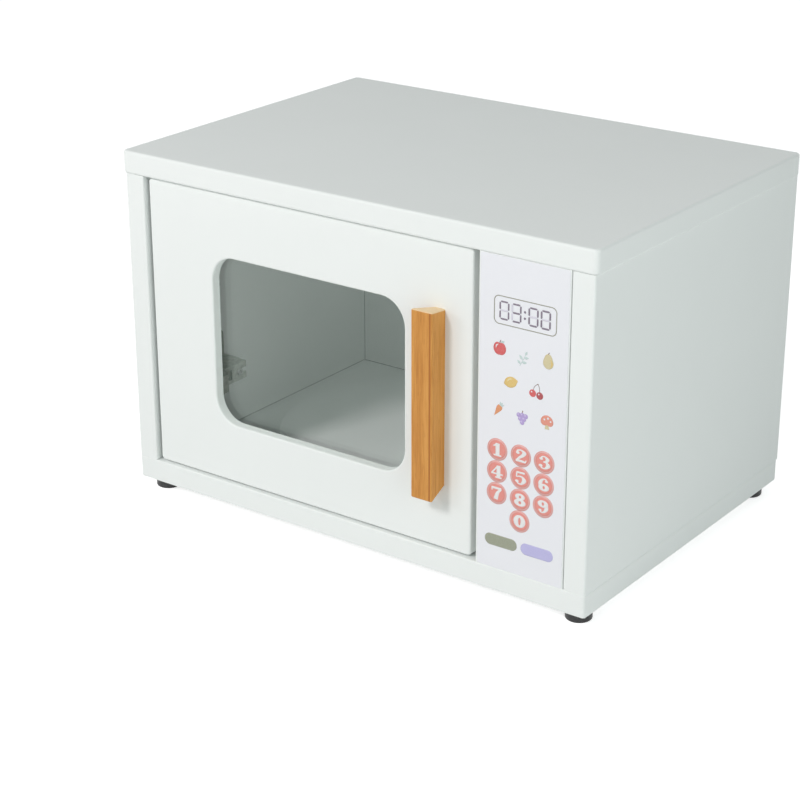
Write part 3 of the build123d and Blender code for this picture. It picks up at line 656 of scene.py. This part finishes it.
def print_film(name, shapes):
    """Flat shapes in millimetres printed on the film's front, each a hair above the last."""
    surfaces = []
    for layer, (shape, material) in enumerate(shapes):
        grid = np.empty((*shape.shape[:2], 3))
        grid[..., 0] = shape[..., 0] * MM
        grid[..., 1] = FILM_FRONT - INK_LIFT - layer * LAYER_LIFT
        grid[..., 2] = shape[..., 1] * MM
        surfaces.append((grid, material))
    piece = build_piece(name, surfaces, "cabinet")
    thick = piece.modifiers.new("ink", "SOLIDIFY")
    thick.thickness = INK_THICKNESS
    thick.offset = 0


# Clock: a rounded frame line round four seven-bar numbers and a colon, in dark mauve ink, with
# the bars that are off printed as pale ghosts.
CLOCK_X = 155.65
CLOCK_Z = 225.0
CLOCK_HALF_WIDTH = 25.05
CLOCK_HALF_HEIGHT = 10.1
CLOCK_CORNER = 3.8
CLOCK_LINE = 0.36
COLON_X = -0.15
DIGIT_HEIGHT = 13.7
DIGIT_WIDTH = 8.1
DIGIT_STEPS = (-16.9, -7.05, 6.65, 16.5)
BAR_HALF = 0.62
BAR_GAP = 0.35
COLON_DOT = 0.85
COLON_HALF_HEIGHT = 2.3
QUARTER_STEPS = 9
CLOCK_TIME = "0300"
LIT_BARS = {"0": "abcdef", "3": "abgcd"}
frame_ink = ink("olive grey ink", (0.30, 0.30, 0.24))
clock_ink = ink("mauve ink", (0.20, 0.16, 0.22))
ghost_ink = ink("pale mauve ink", (0.72, 0.70, 0.80))


def rounded_frame(x, z, half_width, half_height, corner, line):
    """A loop of even width along a rounded rectangle: quarter turns about four corner points."""
    quarter = np.linspace(0, np.pi / 2, QUARTER_STEPS)
    angle = np.concatenate([quarter + k * np.pi / 2 for k in range(4)])
    corner_angle = np.arange(4) * np.pi / 2 + np.pi / 4
    right = np.sign(np.cos(corner_angle)).repeat(QUARTER_STEPS)
    up = np.sign(np.sin(corner_angle)).repeat(QUARTER_STEPS)
    radius = corner + line * np.linspace(-1, 1, 3)[None, :]
    across = x + right[:, None] * (half_width - corner) + radius * np.cos(angle)[:, None]
    high = z + up[:, None] * (half_height - corner) + radius * np.sin(angle)[:, None]
    loop = np.stack([across, high], -1)
    return np.concatenate([loop, loop[:1]])


def bar(x, z, length, upright):
    """One bar of a number, pointed at both ends."""
    half = length / 2 - BAR_GAP
    rows = np.array([(-half, 0.02), (-half + BAR_HALF, BAR_HALF), (half - BAR_HALF, BAR_HALF), (half, 0.02)])
    along = rows[:, 0][:, None] + np.zeros(3)[None, :]
    across = rows[:, 1][:, None] * np.linspace(-1, 1, 3)[None, :]
    shape = np.stack([across, along] if upright else [along, across], -1)
    return shape + (x, z)


def clock_number(x, lit):
    """Seven bars, lettered a to g clockwise from the top with g in the middle."""
    half = DIGIT_HEIGHT / 2 - BAR_HALF
    side = DIGIT_WIDTH / 2 - BAR_HALF
    bars = {
        "a": (0, half, 2 * side, False),
        "b": (side, half / 2, half, True),
        "c": (side, -half / 2, half, True),
        "d": (0, -half, 2 * side, False),
        "e": (-side, -half / 2, half, True),
        "f": (-side, half / 2, half, True),
        "g": (0, 0, 2 * side, False),
    }
    return [
        (bar(x + right, CLOCK_Z + up, length, upright), clock_ink if letter in lit else ghost_ink)
        for letter, (right, up, length, upright) in bars.items()
    ]


clock = [
    (
        rounded_frame(CLOCK_X, CLOCK_Z, CLOCK_HALF_WIDTH, CLOCK_HALF_HEIGHT, CLOCK_CORNER, CLOCK_LINE),
        frame_ink,
    )
]
for digit, step in zip(CLOCK_TIME, DIGIT_STEPS):
    clock += clock_number(CLOCK_X + step, LIT_BARS[digit])
for up in (-COLON_HALF_HEIGHT, COLON_HALF_HEIGHT):
    clock.append((disc(CLOCK_X + COLON_X, CLOCK_Z + up, COLON_DOT), clock_ink))
print_film("clock_print", clock)


# Food pictures: eight small fruits and vegetables in a loose three, two, three pattern, each
# built up from flat patches of ink.
red_ink = ink("red ink", (0.66, 0.09, 0.09))
dark_red_ink = ink("dark red ink", (0.42, 0.05, 0.06))
pale_ink = ink("pale ink", (0.80, 0.80, 0.82))
teal_ink = ink("pale teal ink", (0.55, 0.68, 0.66))
beige_ink = ink("beige ink", (0.66, 0.58, 0.34))
brown_ink = ink("brown ink", (0.17, 0.08, 0.06))
gold_ink = ink("gold ink", (0.74, 0.52, 0.16))
light_gold_ink = ink("light gold ink", (0.82, 0.70, 0.38))
orange_ink = ink("orange ink", (0.76, 0.30, 0.12))
lavender_ink = ink("lavender ink", (0.45, 0.34, 0.66))
light_lavender_ink = ink("light lavender ink", (0.60, 0.52, 0.78))
salmon_ink = ink("salmon ink", (0.76, 0.28, 0.20))


def notch(angle, towards, width):
    """A smooth bump of height 1 round one direction."""
    away = (angle - towards + np.pi) % (2 * np.pi) - np.pi
    return np.exp(-((away / width) ** 2))


def leaf(x, z, length, turn):
    """A pointed oval."""
    rows = [(0, 0, 0.05), (length * 0.5, 0, length * 0.24), (length, 0, 0.05)]
    return placed(stroke(rows, 16), x, z, 1, turn)


UP = np.pi / 2


def apple():
    body = blob(0, -0.6, lambda a: 4.3 - 0.9 * notch(a, UP, 0.35) - 0.4 * notch(a, -UP, 0.4))
    shine = stroke([(-2.6, -0.6, 0.12), (-2.2, 1.0, 0.42), (-1.0, 1.9, 0.12)], 14)
    stem = stroke([(0, 2.4, 0.22), (0.2, 3.6, 0.25), (0.8, 4.6, 0.3)], 12)
    return [(body, red_ink), (shine, pale_ink), (stem, brown_ink), (leaf(0.6, 3.2, 3.0, 0.35), teal_ink)]


def sprig():
    stem = stroke([(-2.6, -4.4, 0.16), (-0.6, -0.8, 0.2), (1.2, 3.0, 0.12)], 16)
    leaves = [(-2.0, -3.2, 3.2, 2.4), (-1.4, -2.0, 3.6, 0.1), (-0.6, -0.4, 3.6, 2.3), (0.1, 0.9, 3.4, 0.2)]
    tip = [(leaf(1.0, 2.6, 3.0, 1.1), teal_ink)]
    return [(stem, teal_ink)] + [(leaf(*spot), teal_ink) for spot in leaves] + tip


def pear():
    body = blob(0, -1.2, lambda a: 3.5 + 2.2 * notch(a, UP, 0.62))
    shade = stroke([(1.4, -3.6, 0.1), (2.5, -1.4, 0.5), (1.5, 1.4, 0.15)], 16)
    stem = stroke([(0, 4.2, 0.2), (0.5, 5.4, 0.28)], 8)
    return [(body, beige_ink), (shade, gold_ink), (stem, brown_ink)]


def lemon():
    def edge(a):
        return 3.3 + 0.9 * np.cos(a) ** 2 + 0.9 * notch(a, 0, 0.22) + 0.7 * notch(a, np.pi, 0.22)

    body = blob(0, 0, edge)
    shine = stroke([(-2.2, 0.8, 0.15), (-0.6, 1.9, 0.5), (1.4, 1.8, 0.15)], 14)
    return [(placed(body, 0, 0, 1, 0.35), gold_ink), (placed(shine, 0, 0, 1, 0.35), light_gold_ink)]


def cherries():
    stems = [
        stroke([(-2.2, -0.6, 0.16), (-1.0, 2.4, 0.16), (1.2, 4.4, 0.22)], 16),
        stroke([(2.4, -1.2, 0.16), (2.2, 2.0, 0.16), (1.2, 4.4, 0.22)], 16),
    ]
    fruit = [(disc(-2.3, -2.0, 2.3), red_ink), (disc(2.5, -2.6, 2.3), dark_red_ink)]
    shines = [(disc(-3.0, -1.2, 0.5), pale_ink), (disc(1.9, -1.8, 0.5), pale_ink)]
    return [(stem, brown_ink) for stem in stems] + fruit + shines


def carrot():
    root = stroke([(0, 3.0, 1.5), (0.1, 1.2, 1.9), (0.2, -2.0, 1.0), (0.3, -4.8, 0.12)], 24)
    marks = [
        stroke([(-1.5, 1.4, 0.1), (-0.3, 1.2, 0.14)], 6),
        stroke([(0.4, -0.2, 0.14), (1.4, 0.0, 0.1)], 6),
        stroke([(-0.9, -1.6, 0.1), (0.0, -1.8, 0.12)], 6),
    ]
    tops = [(leaf(0, 2.8, 2.8, UP + lean), teal_ink) for lean in (-0.6, 0.0, 0.6)]
    patches = tops + [(root, orange_ink)] + [(mark, salmon_ink) for mark in marks]
    return [(placed(shape, 0, 0, 1, -0.6), colour) for shape, colour in patches]


def grapes():
    spots = [(-2.4, 1.6), (0, 1.9), (2.4, 1.6), (-1.3, -0.5), (1.2, -0.4), (0, -2.6)]
    fruit = []
    for x, z in spots:
        fruit += [(disc(x, z, 1.5), lavender_ink), (disc(x - 0.45, z + 0.45, 0.55), light_lavender_ink)]
    stem = stroke([(0, 3.0, 0.25), (0.3, 4.8, 0.3)], 8)
    return [(stem, brown_ink)] + fruit


def mushroom():
    foot = stroke([(0, 0.2, 1.1), (0, -2.2, 1.2), (0.1, -4.0, 1.6)], 16)
    cap = blob(0, 0.2, lambda a: 4.4 - 2.9 * notch(a, -UP, 0.95))
    spots = [(-1.8, 1.8, 0.62), (0.6, 2.8, 0.7), (2.4, 1.2, 0.55)]
    return [(foot, beige_ink), (cap, salmon_ink)] + [(disc(*spot), pale_ink) for spot in spots]


FOOD_SCALE = 1.2
FOODS = {
    "apple": (apple, 135.5, 197.5), "sprig": (sprig, 155.2, 193.0), "pear": (pear, 175.0, 196.0),
    "lemon": (lemon, 145.0, 174.0), "cherries": (cherries, 165.8, 172.5),
    "carrot": (carrot, 135.0, 151.5), "grapes": (grapes, 155.0, 149.5), "mushroom": (mushroom, 175.2, 151.0),
}
for food, (draw, x, z) in FOODS.items():
    print_film(food + "_print", [(placed(shape, x, z, FOOD_SCALE), colour) for shape, colour in draw()])


# Number keys: coral discs with a pale ring near the rim and a fat white number, as on an old
# telephone. They stand in three columns with the nought alone under the middle one.
KEY_COLUMNS = (135.0, 154.6, 173.8)
KEY_ROWS = (121.0, 104.1, 87.3, 70.6)
KEY_RADIUS = 8.4
KEY_RING_OUTER = 7.5
KEY_RING_INNER = 7.1
NUMBER_SIZE = (7.8, 4.95)
coral_ink = ink("coral ink", (0.78, 0.26, 0.22))
pink_ink = ink("pink ink", (0.79, 0.36, 0.33))
pale_pink_ink = ink("pale pink ink", (0.81, 0.50, 0.48))
white_ink = ink("white ink", (0.84, 0.84, 0.84))
NUMBER_STROKES = {
    "1": [
        [(0.02, -0.95, 0.22), (0.02, 0.96, 0.22)],
        [(-0.40, -0.90, 0.12), (0.44, -0.90, 0.12)],
        [(-0.44, 0.46, 0.06), (-0.18, 0.62, 0.14), (0.0, 0.86, 0.16)],
    ],
    "2": [
        [(-0.42, 0.40, 0.10), (-0.30, 0.78, 0.10), (0.05, 0.88, 0.11), (0.36, 0.58, 0.21),
         (0.24, 0.18, 0.20), (-0.14, -0.30, 0.15), (-0.48, -0.80, 0.09)],
        [(-0.54, -0.80, 0.16), (0.05, -0.78, 0.18), (0.52, -0.84, 0.13)],
        [(0.46, -0.92, 0.05), (0.58, -0.48, 0.06)],
    ],
    "3": [
        [(-0.36, 0.50, 0.08), (-0.20, 0.83, 0.09), (0.10, 0.88, 0.11), (0.34, 0.55, 0.20),
         (0.20, 0.18, 0.14), (-0.08, 0.07, 0.08)],
        [(-0.08, 0.07, 0.08), (0.24, 0.02, 0.13), (0.42, -0.42, 0.23), (0.12, -0.87, 0.12),
         (-0.22, -0.86, 0.09), (-0.42, -0.52, 0.08)],
    ],
    "4": [
        [(0.16, -0.94, 0.21), (0.16, 0.96, 0.21)],
        [(0.10, 0.92, 0.08), (-0.55, -0.34, 0.08)],
        [(-0.62, -0.36, 0.12), (0.62, -0.36, 0.12)],
        [(-0.18, -0.90, 0.11), (0.52, -0.90, 0.11)],
    ],
    "5": [
        [(-0.36, 0.82, 0.15), (0.46, 0.86, 0.15)],
        [(-0.38, 0.90, 0.07), (-0.42, 0.10, 0.07)],
        [(-0.42, 0.08, 0.05), (-0.10, 0.26, 0.10), (0.24, 0.16, 0.14), (0.40, -0.32, 0.23),
         (0.12, -0.87, 0.12), (-0.22, -0.86, 0.09), (-0.42, -0.52, 0.08)],
    ],
    "6": [
        [(0.36, 0.58, 0.08), (0.18, 0.88, 0.10), (-0.12, 0.78, 0.12), (-0.34, 0.30, 0.20),
         (-0.35, -0.40, 0.17)],
    ],
    "7": [
        [(-0.50, 0.79, 0.17), (0.50, 0.79, 0.17)],
        [(0.48, 0.74, 0.10), (0.10, 0.10, 0.18), (-0.10, -0.96, 0.23)],
        [(-0.53, 0.94, 0.05), (-0.49, 0.36, 0.06)],
    ],
}
NUMBER_RINGS = {
    "0": [(0, 0, (0.64, 0.98), (0.13, 0.60))],
    "6": [(0.02, -0.42, (0.56, 0.56), (0.12, 0.26))],
    "8": [(0, 0.46, (0.52, 0.52), (0.11, 0.22)), (0, -0.43, (0.62, 0.55), (0.14, 0.24))],
}
NUMBER_BALLS = {
    "2": [(-0.33, 0.42, 0.20)],
    "3": [(-0.32, 0.50, 0.19), (-0.36, -0.54, 0.20)],
    "5": [(-0.36, -0.54, 0.20)],
    "6": [(0.30, 0.58, 0.17)],
}


def number_shapes(number):
    """The flat shapes of a number, two units tall about its middle. A nine is a turned six."""
    drawn = "6" if number == "9" else number
    shapes = [stroke(rows) for rows in NUMBER_STROKES.get(drawn, [])]
    shapes += [ring(*loop) for loop in NUMBER_RINGS.get(drawn, [])]
    shapes += [disc(*ball) for ball in NUMBER_BALLS.get(drawn, [])]
    return [placed(shape, 0, 0, 1, math.pi) for shape in shapes] if number == "9" else shapes


KEY_SPOTS = {str(k + 1): (KEY_COLUMNS[k % 3], KEY_ROWS[k // 3]) for k in range(9)}
KEY_SPOTS["0"] = (KEY_COLUMNS[1], KEY_ROWS[3])
for number, (x, z) in KEY_SPOTS.items():
    key = [
        (disc(x, z, KEY_RADIUS), pink_ink),
        (ring(x, z, (KEY_RING_OUTER,) * 2, (KEY_RING_INNER,) * 2), pale_pink_ink),
        (disc(x, z, KEY_RING_INNER), coral_ink),
    ]
    key += [(placed(shape * NUMBER_SIZE, x, z), white_ink) for shape in number_shapes(number)]
    print_film(f"key_{number}_print", key)


# Two blank buttons under the numbers: long shapes with half round ends, olive and lavender.
BUTTON_Z = 50.4
BUTTON_HALF_HEIGHT = 4.5
BUTTONS = {"olive": (125.6, 152.8, (0.30, 0.32, 0.23)), "lavender": (156.0, 183.0, (0.50, 0.48, 0.78))}


def pill(left, right):
    """A disc drawn out sideways: its left and right halves are moved apart."""
    middle = (left + right) / 2
    shift = (right - left) / 2 - BUTTON_HALF_HEIGHT
    round_shape = disc(0, 0, BUTTON_HALF_HEIGHT)
    centre_line = np.linspace(0, 1, round_shape.shape[0])[:, None]
    pull = np.where(np.cos(np.linspace(0, 2 * np.pi, OUTLINE_STEPS + 1)) >= 0, 1, -1)[None, :]
    round_shape[..., 0] += middle + shift * pull * np.minimum(centre_line * 4, 1)
    round_shape[..., 1] += BUTTON_Z
    return round_shape


for name, (left, right, colour) in BUTTONS.items():
    print_film(name + "_button_print", [(pill(left, right), ink(name + " button ink", colour))])


# Window pane: a clear acrylic sheet with rounded corners, screwed into the rebate behind the
# window by eight small screws.
PANE_COLOUR = (0.82, 0.97, 0.88)
PANE_PALE_COLOUR = (0.85, 0.99, 0.91)
PANE_MIRROR = 0.046
PANE_SLANT_MIRROR = 0.9
PANE_SLANT_POWER = 5.0
pane_finish, pane_shader, pane_place = new_finish("clear acrylic")
pane_slant = pane_place.node("ShaderNodeLayerWeight", {}, {"Blend": 0.5}, output=1)
pane_mirror = pane_slant.math("POWER", pane_slant, PANE_SLANT_POWER) * PANE_SLANT_MIRROR + PANE_MIRROR
set_finish(
    pane_shader,
    {
        "Base Color": pane_place.noise(20, 2).blend(PANE_COLOUR, PANE_PALE_COLOUR),
        "Roughness": 0.05,
        "Metallic": 1.0,
        "Alpha": pane_mirror,
    },
)
dress(pane_finish, "window_pane")
fit_screws("pane_screws", (0, 1, 0), "door", head_height=1.4, shank_radius=1.4, pitch=1.1)


# Handle: a bar sawn from laminated bamboo, planed to its slanted shape and oiled, and held by
# two screws from the door's back.
BAMBOO_COLOUR = (0.66, 0.295, 0.058)
BAMBOO_PALE_COLOUR = (0.71, 0.35, 0.09)
BAMBOO_DARK_COLOUR = (0.40, 0.135, 0.022)
BAMBOO_END_COLOUR = (0.86, 0.64, 0.38)
END_SLANT = 1.6 / 16
STRIP = 4.7 * MM
RIDGE_FROM = 2.8 * MM
RIDGE_TO = 1.0 * MM
RIDGE_FADE = 0.4 * MM
END_DEPTH = 0.9 * MM
FIBRE_LUMPS = 2300
BROAD_LUMPS = 420
bamboo, bamboo_shader, bamboo_place = new_finish("laminated bamboo")
handle_low, handle_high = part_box("door_handle")
bamboo_x, bamboo_y, bamboo_z = bamboo_place.axes()
strip_tone = bamboo_x.node(
    "ShaderNodeTexWhiteNoise",
    {"noise_dimensions": "1D"},
    {"W": bamboo_x.math("FLOOR", (bamboo_x - handle_low.x) * (1 / STRIP))},
)
fibre = bamboo_place.stretched(1, 1, 0.03).noise(FIBRE_LUMPS, 3)
broad = bamboo_place.stretched(1, 1, 0.06).noise(BROAD_LUMPS, 3)
fleck = bamboo_place.stretched(1, 1, 0.055).noise(FIBRE_LUMPS, 1).step(0.66, 0.76)
tone = broad * 0.5 + fibre * 0.4 + strip_tone * 0.12
wood = tone.step(0.1, 0.7).blend(BAMBOO_DARK_COLOUR, BAMBOO_COLOUR)
wood = tone.step(0.4, 0.8).blend(wood, BAMBOO_PALE_COLOUR)
# A dark line runs down the front beside its right corner, and the upper end is pale end grain.
ridge = (bamboo_x - (handle_high.x - RIDGE_FROM)).step(0, RIDGE_FADE)
ridge = ridge * (handle_high.x - RIDGE_TO - bamboo_x).step(0, RIDGE_FADE)
ridge = ridge * (handle_low.y + RIDGE_FADE - bamboo_y).step(0, RIDGE_FADE / 2)
end_height = bamboo_z + (bamboo_y - handle_low.y) * END_SLANT - (handle_high.z - END_DEPTH)
end = end_height.step(0, 0.5 * MM)
wood = (fleck * 0.55 + ridge * 0.95).blend(wood, BAMBOO_DARK_COLOUR)
set_finish(
    bamboo_shader,
    {
        "Base Color": end.blend(wood, BAMBOO_END_COLOUR),
        "Roughness": fibre * 0.2 + 0.38,
        "Normal": (fibre * 0.6 + fleck).relief(0.03 * MM),
        "IOR": 1.4,
    },
)
dress(bamboo, "door_handle")
fit_screws("handle_screws", (0, 1, 0), "door", head_height=2.4, shank_radius=1.8, pitch=1.6)


# Hinges: concealed cup hinges pressed from nickel plated steel, two on the door's left side,
# each with a cup, an arm on a mounting plate, two links and four riveted pins.
NICKEL_COLOUR = (0.50, 0.52, 0.475)
NICKEL_DULL_COLOUR = (0.37, 0.39, 0.35)
NICKEL_ROUGHNESS = 0.34
nickel = steel("dark nickel plate", NICKEL_COLOUR, NICKEL_DULL_COLOUR, NICKEL_ROUGHNESS)
HINGE_PARTS = ("hinge_plate", "hinge_arm", "hinge_cup", "outer_link", "inner_link")
dress(nickel, *[f"{level}_{part}" for level in ("lower", "upper") for part in HINGE_PARTS])
dress(zinc, "hinge_arm_pins", "hinge_cup_pins")
fit_screws("hinge_plate_screws", (1, 0, 0), "cabinet", head_height=2.0, shank_radius=1.8, pitch=1.6)
fit_screws("hinge_arm_screws", (1, 0, 0), "cabinet", head_height=1.6, shank_radius=2.0, pitch=0.8)
fit_screws("hinge_cup_screws", (0, 1, 0), "door", head_height=1.8, shank_radius=1.6, pitch=1.4)
